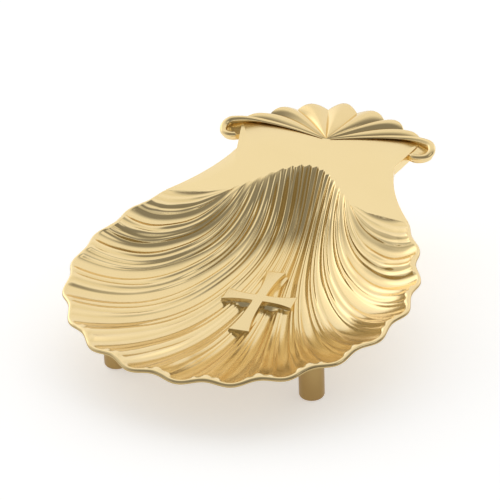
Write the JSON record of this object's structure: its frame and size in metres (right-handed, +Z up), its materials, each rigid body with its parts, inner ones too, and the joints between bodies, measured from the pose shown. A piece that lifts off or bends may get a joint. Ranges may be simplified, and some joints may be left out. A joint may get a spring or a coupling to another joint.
{
  "type": "baptismal shell",
  "caption": "Cast brass scallop bowl on peg feet, with a flared cross on its fluted floor and a scrolled palmette crest at the neck, for pouring water at a baptism.",
  "frame": {"origin": "on the table, under the middle of the whole object's box", "axes": "+Z up, +Y along the neck from the pouring lip to the crest, +X to the right seen from the pouring lip"},
  "size_m": [0.1136, 0.1612, 0.0379],
  "materials": {
    "shell": "polished and gilt, satin in the flutes",
    "crest": "satin gilt casting",
    "cross": "satin gilt, filed flat",
    "feet": "turned, satin gilt",
    "pins": "plain turned"
  },
  "bodies": {
    "root": {"shell_casting": "shell", "crest": "crest", "cross": "cross", "foot_front_left": "feet", "foot_front_right": "feet", "foot_rear": "feet", "foot_stud_front_left": "pins", "foot_stud_front_right": "pins", "foot_stud_rear": "pins", "cross_rivet_upper": "pins", "cross_rivet_lower": "pins", "crest_pin_left": "pins", "crest_pin_right": "pins"}
  },
  "joints": []
}
